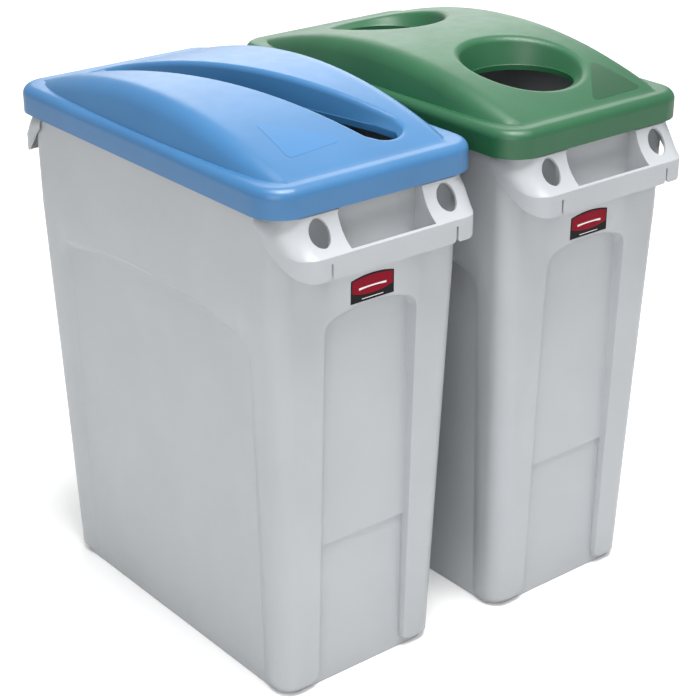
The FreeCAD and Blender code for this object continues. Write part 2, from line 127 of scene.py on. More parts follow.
clear_selection()
bpy.ops.mesh.primitive_cube_add(size=1, location=(0, 0, (BELOW_Z + RIM_Z - WALL) / 2))
tub = bpy.context.object
tub.name = "tub"
tub.scale = (2 * TUB_HALF["top"][0], 2 * TUB_HALF["top"][1], RIM_Z - WALL - BELOW_Z)
bpy.ops.object.transform_apply(location=True, rotation=True, scale=True)
bpy.ops.object.mode_set(mode="EDIT")
pick("EDGE", lambda e: abs(e.verts[0].co.z - e.verts[1].co.z) > 0.1)
bpy.ops.mesh.bevel(offset=TUB_CORNER, segments=8, affect="EDGES")
pick("FACE", lambda f: abs(f.normal.z) > 0.9)
bpy.ops.mesh.delete(type="FACE")


def wall_place(axis, z):
    """Distance of the lower wall from the middle at this height."""
    base, top = TUB_HALF["base"][axis], TUB_HALF["shoulder"][axis]
    return base + (top - base) * (z - FOOT_Z) / (SHOULDER_Z - FOOT_Z)


pick("VERT", lambda v: v.co.z < BELOW_Z + 0.001)
base_ratio = [wall_place(i, BELOW_Z) / TUB_HALF["top"][i] for i in (0, 1)]
bpy.ops.transform.resize(value=(*base_ratio, 1), center_override=(0, 0, 0))
slice_picked(lambda f: True, (0, 0, SHOULDER_Z), (0, 0, 1))
pick("VERT", lambda v: abs(v.co.z - SHOULDER_Z) < 0.001)
share = (SHOULDER_Z - BELOW_Z) / (RIM_Z - WALL - BELOW_Z)
fix = []
for i in (0, 1):
    now = wall_place(i, BELOW_Z) + (TUB_HALF["top"][i] - wall_place(i, BELOW_Z)) * share
    fix.append(TUB_HALF["shoulder"][i] / now)
bpy.ops.transform.resize(value=(*fix, 1), center_override=(0, 0, 0))

# The recessed panels: (axis that they face, half span, apex, arch rise, corner radius,
# depth at the foot, depth at the apex, draft of the side walls, flare at the foot).
PANELS = [
    (1, 0.0650, 0.4810, 0.0130, 0.0120, 0.0040, 0.0120, 0.0030, 0.0120),
    (0, 0.1980, 0.4700, 0.0200, 0.0250, 0.0035, 0.0085, 0.0120, 0.0000),
]
GRIP_LEDGE_Z = 0.188
GRIP_LEDGE = 0.0030
PANEL_SOFTENED_HALF = 0.080
PANEL_SOFTNESS = 0.0013


def arch(across, half, apex, rise, corner):
    """Height of a panel's outline: a flat arch that turns down in round corners."""
    drop = rise * (across / half) ** 2
    over = max(abs(across) - (half - corner), 0)
    return apex - drop - corner + math.sqrt(max(corner**2 - over**2, 0))


def panel_half(z, half, flare):
    """Half width of a panel at this height: it opens in a quarter round at the foot."""
    up = min(max(FOOT_Z + flare - z, 0), flare)
    return half + flare - math.sqrt(max(flare**2 - up**2, 0))


for axis, half, apex, rise, corner, depth_foot, depth_apex, draft, flare in PANELS:
    other = 1 - axis
    columns = [half * k / 5 for k in range(5)]
    columns += [half - corner * (1 - math.sin(math.radians(a))) for a in (0, 22.5, 45, 67.5, 90)]
    for face_side in (-1, 1):

        def on_wall(face, axis=axis, face_side=face_side):
            return face.normal[axis] * face_side > 0.9 and face.calc_center_median().z < SHOULDER_Z

        for place in sorted({math.copysign(c, s) for c in columns for s in (-1, 1)}):
            point, normal = Vector(), Vector()
            point[other], normal[other] = place, 1
            slice_picked(on_wall, point, normal)
        seam = apex - rise - corner
        slice_picked(on_wall, (0, 0, seam), (0, 0, 1))
        if axis == 1:
            slice_picked(on_wall, (0, 0, GRIP_LEDGE_Z), (0, 0, 1))
            for turn in (90, 70, 50, 30, 0):
                flare_z = FOOT_Z + flare * (1 - math.sin(math.radians(turn)))
                slice_picked(on_wall, (0, 0, flare_z), (0, 0, 1))

        def near_wall(v, axis=axis, face_side=face_side):
            return abs(v.co[axis] - face_side * wall_place(axis, v.co.z)) < 0.001

        def on_outline(v, other=other, half=half, seam=seam):
            return near_wall(v) and abs(v.co.z - seam) < 1e-4 and abs(v.co[other]) < half - 1e-5

        pick("VERT", on_outline)

        outline_shape = (half, apex, rise, corner)

        def lift(place, axis=axis, other=other, face_side=face_side, shape=outline_shape):
            place.z = arch(place[other], *shape)
            place[axis] = face_side * wall_place(axis, place.z)
            return place

        move_picked(lift)
        if flare:

            def on_flare(v, other=other, half=half, flare=flare):
                on_edge = abs(abs(v.co[other]) - half) < 1e-5
                return near_wall(v) and on_edge and v.co.z < FOOT_Z + flare

            pick("VERT", on_flare)

            def open_out(place, other=other, half=half, flare=flare):
                place[other] = math.copysign(panel_half(place.z, half, flare), place[other])
                return place

            move_picked(open_out)

        def in_panel(face, other=other, shape=outline_shape, flare=flare):
            spot = face.calc_center_median()
            between = abs(spot[other]) < panel_half(spot.z, shape[0], flare)
            below = spot.z < arch(min(abs(spot[other]), shape[0]), *shape) - 1e-4
            return on_wall(face) and between and below

        def sink(place, other=other, axis=axis, face_side=face_side):
            along = max((place.z - FOOT_Z) / (apex - FOOT_Z), 0)
            place[axis] -= face_side * (depth_foot + (depth_apex - depth_foot) * along)
            outline = arch(min(abs(place[other]), half), *outline_shape)
            if abs(place.z - outline) < 0.002:
                place.z -= draft * 0.8
            place[other] *= (half - draft) / half
            return place

        pick("FACE", in_panel)
        bpy.ops.mesh.extrude_region()
        move_picked(sink)
        if axis == 1:

            def below_ledge(face, face_side=face_side):
                spot = face.calc_center_median()
                on_floor = abs(spot.x) < panel_half(spot.z, half, flare) - draft - 0.0002
                return on_floor and spot.z < GRIP_LEDGE_Z and face.normal.y * face_side > 0.9

            pick("FACE", below_ledge)
            bpy.ops.mesh.extrude_region()
            move_picked(lambda p, s=face_side: p - Vector((0, s * GRIP_LEDGE, 0)))

pick("FACE", lambda f: abs(f.normal.z) > 0.9 and f.calc_center_median().z < BELOW_Z + 0.002)
bpy.ops.mesh.delete(type="FACE")
bpy.ops.mesh.select_mode(type="VERT")
bpy.ops.mesh.select_all(action="SELECT")
bpy.ops.mesh.remove_doubles(threshold=0.00002)


def softened(edge):
    """Whether the edge is a crease of an end panel, apart from the ledge."""
    creased = len(edge.link_faces) == 2 and edge.calc_face_angle(0) > 0.5
    on_panel = abs(middle(edge).x) < PANEL_SOFTENED_HALF
    return creased and on_panel and abs(middle(edge).z - GRIP_LEDGE_Z) > 0.003


pick("EDGE", softened)
bpy.ops.mesh.bevel(offset=PANEL_SOFTNESS, segments=2, affect="EDGES", clamp_overlap=True)

pick("EDGE", lambda e: len(e.link_faces) == 1 and middle(e).z > RIM_Z - 0.01)
rim_turns = (60, 30, 0)
for index, turn in enumerate(rim_turns):
    bpy.ops.mesh.extrude_edges_move()
    before = 0 if index == 0 else math.cos(math.radians(rim_turns[index - 1]))
    reach = RIM_REACH * (math.cos(math.radians(turn)) - before)
    height = RIM_Z - WALL - RIM_ROUND * (1 - math.sin(math.radians(turn)))
    move_picked(lambda p: Vector((*(p + outward(p, TUB_CORNER) * reach).xy, height)))
bpy.ops.mesh.extrude_edges_move()
move_picked(lambda p: Vector((p.x, p.y, RIM_LIP_Z)))

bpy.ops.mesh.select_all(action="SELECT")
bpy.ops.mesh.bisect(plane_co=(0, 0, FOOT_Z), plane_no=(0, 0, 1), clear_inner=True)
pick("EDGE", lambda e: len(e.link_faces) == 1 and middle(e).z < FOOT_Z + 0.002)
bpy.ops.mesh.edge_face_add()
bpy.ops.mesh.select_all(action="SELECT")
bpy.ops.mesh.normals_make_consistent(inside=False)
cage = bmesh.from_edit_mesh(tub.data)
front = max(cage.faces, key=lambda f: -f.calc_center_median().y * f.calc_area())
if front.normal.y > 0:
    bpy.ops.mesh.flip_normals()
bpy.ops.object.mode_set(mode="OBJECT")
apply_modifier("SOLIDIFY", thickness=WALL, offset=-1, use_even_offset=True, thickness_clamp=0)
bpy.ops.object.mode_set(mode="EDIT")
pick("VERT", lambda v: v.co.z > RIM_Z)
move_picked(lambda p: Vector((p.x, p.y, RIM_Z)))
bpy.ops.object.mode_set(mode="OBJECT")

# The set-back foot, flush with the floors of the panels.
FOOT_HALF = (0.1093, 0.2240)
FOOT_CORNER = 0.022
FOOT_LAP = 0.001
clear_selection()
bpy.ops.mesh.primitive_cube_add(size=1, location=(0, 0, (FOOT_Z + FOOT_LAP) / 2))
foot = bpy.context.object
foot.scale = (2 * FOOT_HALF[0], 2 * FOOT_HALF[1], FOOT_Z + FOOT_LAP)
bpy.ops.object.transform_apply(location=True, rotation=True, scale=True)
bpy.ops.object.mode_set(mode="EDIT")
pick("EDGE", lambda e: abs(e.verts[0].co.z - e.verts[1].co.z) > 0.005)
bpy.ops.mesh.bevel(offset=FOOT_CORNER, segments=8, affect="EDGES")
bpy.ops.object.mode_set(mode="OBJECT")


# ---------------------------------------------------------------------------------------
# The grip frames.  A hollow flange slopes out from under the lid to an upright grip bar,
# runs round both corners as wings, and leaves a hand opening and two oval holes where the
# bin liner is knotted.  Same moulding as the tub.
# ---------------------------------------------------------------------------------------
LID_FOOT_Z = lid_low.z
BAR_Y = -(tub_high.y - bin_centres["paper"].y)
FLANGE_RUN = 0.0264
FLANGE_RUN_TIP = 0.0030
FLANGE_CHORD = 0.0435
ROOT_Y = BAR_Y + FLANGE_RUN
GRIP_TOP_Z = LID_FOOT_Z - 0.0012
ROOT_Z = LID_FOOT_Z - 0.0050
FOLD_Z = LID_FOOT_Z - 0.0400
BAR_HEIGHT = 0.0250
FLANGE_SAG = 0.0044
WING_X = 0.1000
WING_REACH = 0.034
WING_DEPTH = 0.0704
WING_ROOT_DEPTH = 0.0440
WING_Y = BAR_Y + WING_DEPTH
WING_CLIMB = 0.025
HAND_HALF = 0.0580
HAND_TOP_Z = LID_FOOT_Z + 0.0008
HAND_CORNER = 0.0080
FLANGE_STEPS = 9
WING_STEPS = 12
ROOT_HALF = 0.1306


def wing_shape(turn):
    """How far the fold has climbed and how tall the bar still is at this turn round a wing."""
    climb = WING_CLIMB * (max(turn - 35, 0) / 55) ** 1.6
    height = max(BAR_HEIGHT * max(math.cos(math.radians(turn)), 0) ** 0.75, 0.003)
    return climb, height


def grip_profile(turn):
    """Outline of the frame at this turn, from tub to bar foot: (share of the way out, height)."""
    climb, height = wing_shape(turn)
    fold_z = FOLD_Z + climb
    run = FLANGE_RUN - (FLANGE_RUN - FLANGE_RUN_TIP) * math.sin(math.radians(turn)) ** 2
    rise = ROOT_Z - fold_z
    chord = math.hypot(run, rise)
    sag = FLANGE_SAG * (1 - 2.2 * math.sin(math.radians(turn)) ** 2) * min(chord / FLANGE_CHORD, 1)
    profile = [(-1.0, GRIP_TOP_Z), (-0.02, GRIP_TOP_Z), (0.0, GRIP_TOP_Z - 0.0007)]
    for step in range(FLANGE_STEPS + 1):
        way = step / FLANGE_STEPS
        dip = 4 * sag * way * (1 - way)
        out = way - dip * rise / chord / run
        profile.append((out, ROOT_Z - rise * way - dip * run / chord))
    profile[-1] = (0.985, fold_z + 0.0006)
    profile.append((1.0, fold_z - 0.0008))
    profile += [(1.0, fold_z - height * part) for part in (0.3, 0.75, 1.0)]
    return profile


stations = [(-WING_X, 90 - 90 * k / WING_STEPS, -1) for k in range(WING_STEPS)]
straight = (-1.0, -0.735, -0.58, -0.3, 0, 0.3, 0.58, 0.735, 1.0)
stations += [(WING_X * k, 0, 0) for k in straight]
stations += [(WING_X, 90 * k / WING_STEPS, 1) for k in range(1, WING_STEPS + 1)]
rows = len(grip_profile(0))

clear_selection()
bpy.ops.mesh.primitive_grid_add(x_subdivisions=len(stations) - 1, y_subdivisions=rows - 1, size=1)
grip = bpy.context.object
grip.name = "grip"
bpy.ops.object.mode_set(mode="EDIT")
cage = bmesh.from_edit_mesh(grip.data)
cage.verts.ensure_lookup_table()
ordered = sorted(cage.verts, key=lambda v: (round(v.co.y, 4), round(v.co.x, 4)))
for index, corner in enumerate(ordered):
    row, column = divmod(index, len(stations))
    start_x, turn, wing = stations[column]
    out, height = grip_profile(turn)[row]
    angle = math.radians(turn)
    fold_x = start_x + wing * WING_REACH * math.sin(angle)
    root_x = start_x + wing * (ROOT_HALF - WING_X) * math.sin(angle)
    fold = Vector((fold_x, WING_Y - WING_DEPTH * math.cos(angle), 0))
    root = Vector((root_x, WING_Y - WING_ROOT_DEPTH * math.cos(angle), 0))
    if out < -0.5:
        way_in = (fold - root).normalized() * (0.0135 * math.cos(angle) + 0.0015)
        place = root - way_in
    else:
        place = root + (fold - root) * out
    corner.co = (place.x, place.y, height)
bpy.ops.mesh.select_all(action="SELECT")
bpy.ops.mesh.normals_make_consistent(inside=False)
cage = bmesh.from_edit_mesh(grip.data)
bar = min(cage.faces, key=lambda f: f.calc_center_median().y)
if bar.normal.y > 0:
    bpy.ops.mesh.flip_normals()
bpy.ops.object.mode_set(mode="OBJECT")
apply_modifier("SOLIDIFY", thickness=WALL, offset=-1, use_even_offset=True, thickness_clamp=1)
apply_modifier(
    "BEVEL", width=0.0007, segments=2, limit_method="ANGLE", angle_limit=math.radians(60)
)

# Upright gussets behind the flange close the ends of the hand opening.
GUSSET_BACK_Y = ROOT_Y + 0.0160
GUSSET_WALL = 0.0035
GUSSET_PROUD = 0.00012
gusset_foot_z = FOLD_Z - BAR_HEIGHT + 0.0012
gusset_line = [(GUSSET_BACK_Y, GRIP_TOP_Z - 0.0015)]
for out, height in grip_profile(0)[2:-1]:
    gusset_y = max(ROOT_Y - FLANGE_RUN * out, BAR_Y + 0.0004) + 0.0002
    gusset_line.append((gusset_y, height - 0.0004))
gusset_line.append((BAR_Y + 0.0014, gusset_foot_z))
gusset_line.append((GUSSET_BACK_Y, gusset_foot_z))
gussets = []
for wing in (-1, 1):
    clear_selection()
    bpy.ops.mesh.primitive_circle_add(vertices=len(gusset_line), radius=0.01, fill_type="NGON")
    gusset = bpy.context.object
    for corner, (y, z) in zip(gusset.data.vertices, gusset_line):
        corner.co = (wing * (HAND_HALF - GUSSET_PROUD), y, z)
    bpy.ops.object.mode_set(mode="EDIT")
    bpy.ops.mesh.select_all(action="SELECT")
    bpy.ops.mesh.extrude_region()
    move_picked(lambda p: p + Vector((wing * GUSSET_WALL, 0, 0)))
    bpy.ops.mesh.select_all(action="SELECT")
    bpy.ops.mesh.normals_make_consistent(inside=False)
    bpy.ops.object.mode_set(mode="OBJECT")
    gussets.append(gusset)

# The strip that ties the frame to the rim, hidden under the lid's skirt.
STRIP_Y = -0.2533
STRIP_SPAN = 0.1960
STRIP_WALL = 0.0026
clear_selection()
strip_low = GRIP_TOP_Z - WALL
bpy.ops.mesh.primitive_cube_add(size=1, location=(0, STRIP_Y, (strip_low + RIM_LIP_Z) / 2))
strip = bpy.context.object
strip.scale = (STRIP_SPAN, STRIP_WALL, RIM_LIP_Z - strip_low + 0.002)
bpy.ops.object.transform_apply(location=True, rotation=True, scale=True)

# What is cut away: an oval for the liner at each end, the slit below it, which widens in
# round corners at the foot of the bar, and the hand opening up to the lid.
CINCH_X = 0.0867
CINCH_Y = BAR_Y + 0.0204
CINCH_Z = LID_FOOT_Z - 0.0200
CINCH_TILT = math.radians(34)
CINCH_HALF = (0.0130, 0.0164)
SLIT_X = 0.0860
SLIT_HALF = 0.0015
SLIT_FLARE = ((0.0020, 0.0005), (0.0016, 0.0016), (0.0006, 0.0030), (0.0010, 0.0045))
BAR_FOOT_Z = FOLD_Z - BAR_HEIGHT
cutters = []
for wing in (-1, 1):
    clear_selection()
    bpy.ops.mesh.primitive_cylinder_add(vertices=48, radius=1, depth=0.03, location=(0, 0, 0))
    oval = bpy.context.object
    bpy.ops.object.mode_set(mode="EDIT")
    bpy.ops.mesh.select_all(action="SELECT")
    bpy.ops.transform.resize(value=(*CINCH_HALF, 1))
    bpy.ops.object.mode_set(mode="OBJECT")
    oval.data.transform(Matrix.Rotation(math.radians(90) - CINCH_TILT, 4, "X"))
    oval.data.transform(Matrix.Translation((wing * CINCH_X, CINCH_Y, CINCH_Z)))
    clear_selection()
    slit_foot, slit_top = BAR_FOOT_Z + 0.0042, BAR_FOOT_Z + 0.0180
    spot = (wing * SLIT_X, BAR_Y + 0.0015, (slit_foot + slit_top) / 2)
    bpy.ops.mesh.primitive_cube_add(size=1, location=spot)
    slit = bpy.context.object
    slit.scale = (2 * SLIT_HALF, 0.0080, slit_top - slit_foot)
    bpy.ops.object.transform_apply(location=True, rotation=True, scale=True)
    bpy.ops.object.mode_set(mode="EDIT")
    pick("FACE", lambda f: f.normal.z < -0.9)
    wide = SLIT_HALF
    for drop, reach in SLIT_FLARE:
        bpy.ops.mesh.extrude_region()
        ratio = (SLIT_HALF + reach) / wide
        wide = SLIT_HALF + reach
        line = wing * SLIT_X
        move_picked(lambda p: Vector((line + (p.x - line) * ratio, p.y, p.z - drop)))
    bpy.ops.object.mode_set(mode="OBJECT")
    cutters += [oval, slit]
clear_selection()
hand_low = FOLD_Z - 0.0400
hand_front, hand_back = BAR_Y + 0.0031, ROOT_Y + 0.0250
spot = (0, (hand_front + hand_back) / 2, (hand_low + HAND_TOP_Z) / 2)
bpy.ops.mesh.primitive_cube_add(size=1, location=spot)
hand = bpy.context.object
hand.scale = (2 * HAND_HALF, hand_back - hand_front, HAND_TOP_Z - hand_low)
bpy.ops.object.transform_apply(location=True, rotation=True, scale=True)
bpy.ops.object.mode_set(mode="EDIT")
pick(
    "EDGE",
    lambda e: middle(e).z > HAND_TOP_Z - 0.001 and abs(middle(e).x) > HAND_HALF - 0.001,
)
bpy.ops.mesh.bevel(offset=HAND_CORNER, segments=6, affect="EDGES")
bpy.ops.object.mode_set(mode="OBJECT")
cutters.append(hand)
for piece in (grip, strip):
    for cutter in cutters:
        if piece is strip and cutter is not hand:
            continue
        clear_selection()
        bpy.context.view_layer.objects.active = piece
        piece.select_set(True)
        apply_modifier("BOOLEAN", operation="DIFFERENCE", object=cutter, solver="EXACT")
for cutter in cutters:
    bpy.data.objects.remove(cutter)

clear_selection()
for part in (*gussets, strip, grip):
    part.select_set(True)
bpy.context.view_layer.objects.active = grip
bpy.ops.object.join()
rear = grip.copy()
rear.data = grip.data.copy()
bpy.context.scene.collection.objects.link(rear)
rear.data.transform(Matrix.Rotation(math.pi, 4, "Z"))
clear_selection()
for part in (grip, rear, foot, tub):
    part.select_set(True)
bpy.context.view_layer.objects.active = tub
bpy.ops.object.join()


def finish_surface(piece, angle):
    """Smooth shading that keeps broad faces flat and hard edges hard."""
    clear_selection()
    piece.select_set(True)
    bpy.context.view_layer.objects.active = piece
    bpy.ops.object.shade_smooth_by_angle(angle=math.radians(angle))
    apply_modifier("WEIGHTED_NORMAL", weight=50, keep_sharp=True)


finish_surface(tub, 29)


def linear(red, green, blue):
    """Colour of 0 to 255 as the renderer's linear value."""
    parts = [value / 255 for value in (red, green, blue)]
    return (*[c / 12.92 if c <= 0.04045 else ((c + 0.055) / 1.055) ** 2.4 for c in parts], 1)


def moulded_plastic(name, dark, light, roughness, grain, depth, ripple):
    """Moulded plastic: a cloudy colour, an uneven sheen, and fine grain over broad ripples."""
    material = bpy.data.materials.new(name)
    material.use_nodes = True
    nodes, links = material.node_tree.nodes, material.node_tree.links
    shader = nodes["Principled BSDF"]
    spot = nodes.new("ShaderNodeTexCoord").outputs["Object"]

    def noise(scale, detail):
        texture = nodes.new("ShaderNodeTexNoise")
        texture.inputs["Scale"].default_value = scale
        texture.inputs["Detail"].default_value = detail
        links.new(spot, texture.inputs["Vector"])
        return texture.outputs["Fac"]

    cloud = nodes.new("ShaderNodeValToRGB")
    cloud.color_ramp.elements[0].position = 0.35
    cloud.color_ramp.elements[1].position = 0.65
    cloud.color_ramp.elements[0].color = dark
    cloud.color_ramp.elements[1].color = light
    links.new(noise(9, 4), cloud.inputs["Fac"])
    links.new(cloud.outputs["Color"], shader.inputs["Base Color"])

    sheen = nodes.new("ShaderNodeMapRange")
    sheen.inputs["To Min"].default_value = roughness - 0.05
    sheen.inputs["To Max"].default_value = roughness + 0.05
    links.new(noise(60, 3), sheen.inputs["Value"])
    links.new(sheen.outputs["Result"], shader.inputs["Roughness"])

    fine = nodes.new("ShaderNodeBump")
    fine.inputs["Strength"].default_value = 0.5
    fine.inputs["Distance"].default_value = depth
    links.new(noise(1 / grain, 2), fine.inputs["Height"])
    broad = nodes.new("ShaderNodeBump")
    broad.inputs["Strength"].default_value = 0.4
    broad.inputs["Distance"].default_value = ripple
    links.new(noise(14, 1), broad.inputs["Height"])
    links.new(broad.outputs["Normal"], fine.inputs["Normal"])
    links.new(fine.outputs["Normal"], shader.inputs["Normal"])
    return material


GREY_DARK, GREY_LIGHT = linear(148, 151, 154), linear(151, 154, 157)
grey_plastic = moulded_plastic(
    "grey_tub_plastic", GREY_DARK, GREY_LIGHT, 0.45, 0.0016, 0.00010, 0.00008
)


def place_at(piece, side, name):
    """A copy of the piece, with its own mesh, in its bin's place."""
    copy = piece.copy()
    copy.data = piece.data.copy()
    copy.name = copy.data.name = name
    bpy.context.scene.collection.objects.link(copy)
    copy.data.transform(Matrix.Translation(bin_centres[side]))
    return copy


tub.data.materials.clear()
tub.data.materials.append(grey_plastic)
for side in ("paper", "bottle"):
    piece = place_at(tub, side, side + "_bin_moulding")
    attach(piece, side + "_bin")
    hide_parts(side + "_tub")
    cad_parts[side + "_tub"].data.materials.clear()
    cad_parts[side + "_tub"].data.materials.append(grey_plastic)
bpy.data.objects.remove(tub)


# ---------------------------------------------------------------------------------------
# The lids.  Each is one moulding that rests loosely on the rim: a skirt, a rounded
# shoulder, a flat margin and a low arched dome.  The blue lid has a long slanted slot for
# paper, the green lid two round holes for bottles and cans.
# ---------------------------------------------------------------------------------------
LID_HALF = ((lid_high.x - lid_low.x) / 2, (lid_high.y - lid_low.y) / 2)
MARGIN_Z = lid_low.z + 0.0320
DOME_RISE = lid_high.z - MARGIN_Z
LID_CORNER = 0.0380
LID_SHOULDER = 0.0110
DOME_HALF_LENGTH = 0.2380
DOME_FLAT = 0.1030
DOME_ROUND = 0.0250
DOME_SIDE = math.radians(74)
DOME_LEAST = math.radians(22)
FOOT_FILLET = 0.0006
MARGIN_LEAST = 0.0008
SKIRT_RINGS = 8


def dome_rise(y):
    """Height of the dome over the margin, which dies away towards both ends."""
    return DOME_RISE * max(1 - (y / DOME_HALF_LENGTH) ** 2, 0)


def crown(x, y):
    """Top of the dome inside its long roundings."""
    return MARGIN_Z + dome_rise(y)


# Stations from the middle to the edge: flat, rounded, foot, margin, shoulder, skirt.
edge_rows = [("edge", k / SKIRT_RINGS) for k in range(SKIRT_RINGS + 1)] + [("skirt", 1)]
across = [("flat", 0.016 * k) for k in range(7)] + [("flat", DOME_FLAT)]
across += [("round", k / 6) for k in range(1, 7)]
across += [("foot", 0), ("gap", 0.33), ("gap", 0.67)] + edge_rows


def side_place(station, y):
    """Distance from the middle, and height, of a side station at this y."""
    kind, value = station
    rise = dome_rise(y)
    steep = min(DOME_SIDE, max(math.acos(max(1 - rise / DOME_ROUND, -1)), DOME_LEAST))
    if kind == "flat":
        return value, MARGIN_Z + rise
    if kind == "round":
        turn = steep * value
        height = MARGIN_Z + rise - DOME_ROUND * (1 - math.cos(turn))
        return DOME_FLAT + DOME_ROUND * math.sin(turn), max(height, MARGIN_Z)
    left = max(rise - DOME_ROUND * (1 - math.cos(steep)), 0)
    foot = DOME_FLAT + DOME_ROUND * math.sin(steep) + left / math.tan(DOME_SIDE) + FOOT_FILLET
    if kind == "foot":
        return foot, MARGIN_Z
    margin = max(LID_HALF[0] - LID_SHOULDER, foot + MARGIN_LEAST)
    if kind == "gap":
        return foot + (margin - foot) * value, MARGIN_Z
    turn = math.radians(90 * value)
    out = margin + (LID_HALF[0] - margin) * math.sin(turn)
    if kind == "skirt":
        return LID_HALF[0], lid_low.z
    return out, MARGIN_Z - LID_SHOULDER * (1 - math.cos(turn))


def end_place(station):
    """Distance from the middle, and height, of an end station."""
    kind, value = station
    if kind == "skirt":
        return LID_HALF[1], lid_low.z
    turn = math.radians(90 * value)
    margin = LID_HALF[1] - LID_SHOULDER
    return margin + LID_SHOULDER * math.sin(turn), MARGIN_Z - LID_SHOULDER * (1 - math.cos(turn))


def round_corner(x, y):
    """Moves a place in the square corner of the lid onto the round corner."""
    u = abs(x) - (LID_HALF[0] - LID_CORNER)
    v = abs(y) - (LID_HALF[1] - LID_CORNER)
    if u <= 0 or v <= 0:
        return x, y
    reach = max(u, v)
    turn = math.radians(45 * v / u) if u >= v else math.radians(90 - 45 * u / v)
    new_u, new_v = reach * math.cos(turn), reach * math.sin(turn)
    return (
        math.copysign(LID_HALF[0] - LID_CORNER + new_u, x),
        math.copysign(LID_HALF[1] - LID_CORNER + new_v, y),
    )


def in_block(spot, low_x, high_x, low_y, high_y):
    """Whether a place is within the block around a mouth."""
    return low_x < spot.x < high_x and low_y < spot.y < high_y


def lid_sheet(name, dome_rows, blocks):
    """The lid's outer skin, open where the blocks around its mouths are left out."""
    columns = [(-1, s) for s in reversed(across[1:])] + [(1, s) for s in across]
    rows = [(-1, s) for s in reversed(edge_rows)]
    rows += [(0, y) for y in dome_rows] + [(1, s) for s in edge_rows]
    clear_selection()
    bpy.ops.mesh.primitive_grid_add(
        x_subdivisions=len(columns) - 1, y_subdivisions=len(rows) - 1, size=1
    )
    sheet = bpy.context.object
    sheet.name = name
    bpy.ops.object.mode_set(mode="EDIT")
    cage = bmesh.from_edit_mesh(sheet.data)
    ordered = sorted(cage.verts, key=lambda v: (round(v.co.y, 4), round(v.co.x, 4)))
    for index, corner in enumerate(ordered):
        row, column = divmod(index, len(columns))
        side, station = columns[column]
        end, row_station = rows[row]
        y, end_z = (row_station, MARGIN_Z + 1) if end == 0 else end_place(row_station)
        if end:
            y *= end
        x, z = side_place(station, y)
        x, y = round_corner(x * side, y)
        corner.co = (x, y, min(z, end_z))
    bmesh.update_edit_mesh(sheet.data)
    for block in blocks:
        pick("FACE", lambda f: in_block(f.calc_center_median(), *block))
        bpy.ops.mesh.delete(type="FACE")
    return sheet


def ring_angle(place, centre, flat):
    """How far a place is from a direction, seen from the centre."""
    way = Vector(place) - centre
    return abs(way.angle_signed(flat, 0)) if way.length and flat.length else 9


def add_mouth(sheet, block, outline, steps, throat):
    """Bridges the block to the mouth's outline and turns the skin down through its steps."""
    low_x, high_x, low_y, high_y = block
    clear_selection()
    places = outline(steps[0][0])
    bpy.ops.mesh.primitive_circle_add(vertices=len(places), radius=0.01, fill_type="NOTHING")
    ring = bpy.context.object
    for corner, place in zip(ring.data.vertices, places):
        corner.co = (*place, crown(*place))
    ring.select_set(True)
    sheet.select_set(True)
    bpy.context.view_layer.objects.active = sheet
    bpy.ops.object.join()
    bpy.ops.object.mode_set(mode="EDIT")
    near = 0.0005

    def on_loop(edge):
        spot = middle(edge)
        if len(edge.link_faces) > 1:
            return False
        inside = in_block(spot, low_x - near, high_x + near, low_y - near, high_y + near)
        return inside and spot.z > MARGIN_Z - 0.001

    pick("EDGE", on_loop)
    bpy.ops.mesh.bridge_edge_loops(number_cuts=1, interpolation="LINEAR")
    pick("VERT", lambda v: in_block(v.co, *block))
    move_picked(lambda p: Vector((p.x, p.y, crown(p.x, p.y))))

    centre = sum((Vector(place) for place in places), Vector((0, 0))) / len(places)
    pick("EDGE", lambda e: len(e.link_faces) == 1 and in_block(middle(e), *block))
    for size, drop, share in steps[1:]:
        bpy.ops.mesh.extrude_edges_move()
        cage = bmesh.from_edit_mesh(sheet.data)
        ring = [v for v in cage.verts if v.select]
        targets = outline(size)
        for corner in ring:
            flat = Vector((corner.co.x, corner.co.y)) - centre
            best = min(targets, key=lambda t: ring_angle(t, centre, flat))
            top = crown(*best)
            mouth = throat(*best)
            if share is None:
                height = mouth + drop
            else:
                height = top - min(drop, (top - mouth) * share)
            corner.co = (*best, height)
        bmesh.update_edit_mesh(sheet.data)
    bpy.ops.object.mode_set(mode="OBJECT")


def finish_lid(sheet):
    """Gives the skin its wall."""
    clear_selection()
    sheet.select_set(True)
    bpy.context.view_layer.objects.active = sheet
    bpy.ops.object.mode_set(mode="EDIT")
    bpy.ops.mesh.select_mode(type="VERT")
    bpy.ops.mesh.select_all(action="SELECT")
    bpy.ops.mesh.remove_doubles(threshold=0.00005)
    bpy.ops.mesh.normals_make_consistent(inside=False)
    cage = bmesh.from_edit_mesh(sheet.data)
    top = max(cage.faces, key=lambda f: f.calc_center_median().z)
    if top.normal.z < 0:
        bpy.ops.mesh.flip_normals()
    bpy.ops.object.mode_set(mode="OBJECT")
    apply_modifier("SOLIDIFY", thickness=WALL, offset=-1, use_even_offset=True, thickness_clamp=1)
    finish_surface(sheet, 32)


blue_plastic = moulded_plastic(
    "blue_lid_plastic", linear(44, 94, 136), linear(48, 98, 141), 0.38, 0.0012, 0.00008, 0.0002
)
green_plastic = moulded_plastic(
    "green_lid_plastic", linear(22, 74, 45), linear(27, 81, 50), 0.44, 0.0022, 0.00030, 0.0002
)
blue_pad = moulded_plastic(
    "blue_pad_plastic", linear(42, 97, 142), linear(45, 100, 146), 0.36, 0.0012, 0.00002, 0.0001
)
green_pad = moulded_plastic(
    "green_pad_plastic", linear(14, 60, 34), linear(17, 65, 38), 0.34, 0.0022, 0.00003, 0.0001
)


PAD_CORNER = 0.0070
PAD_SLICE = 0.006
PAD_PROUD = 0.00018
PAD_SUNK = 0.0012


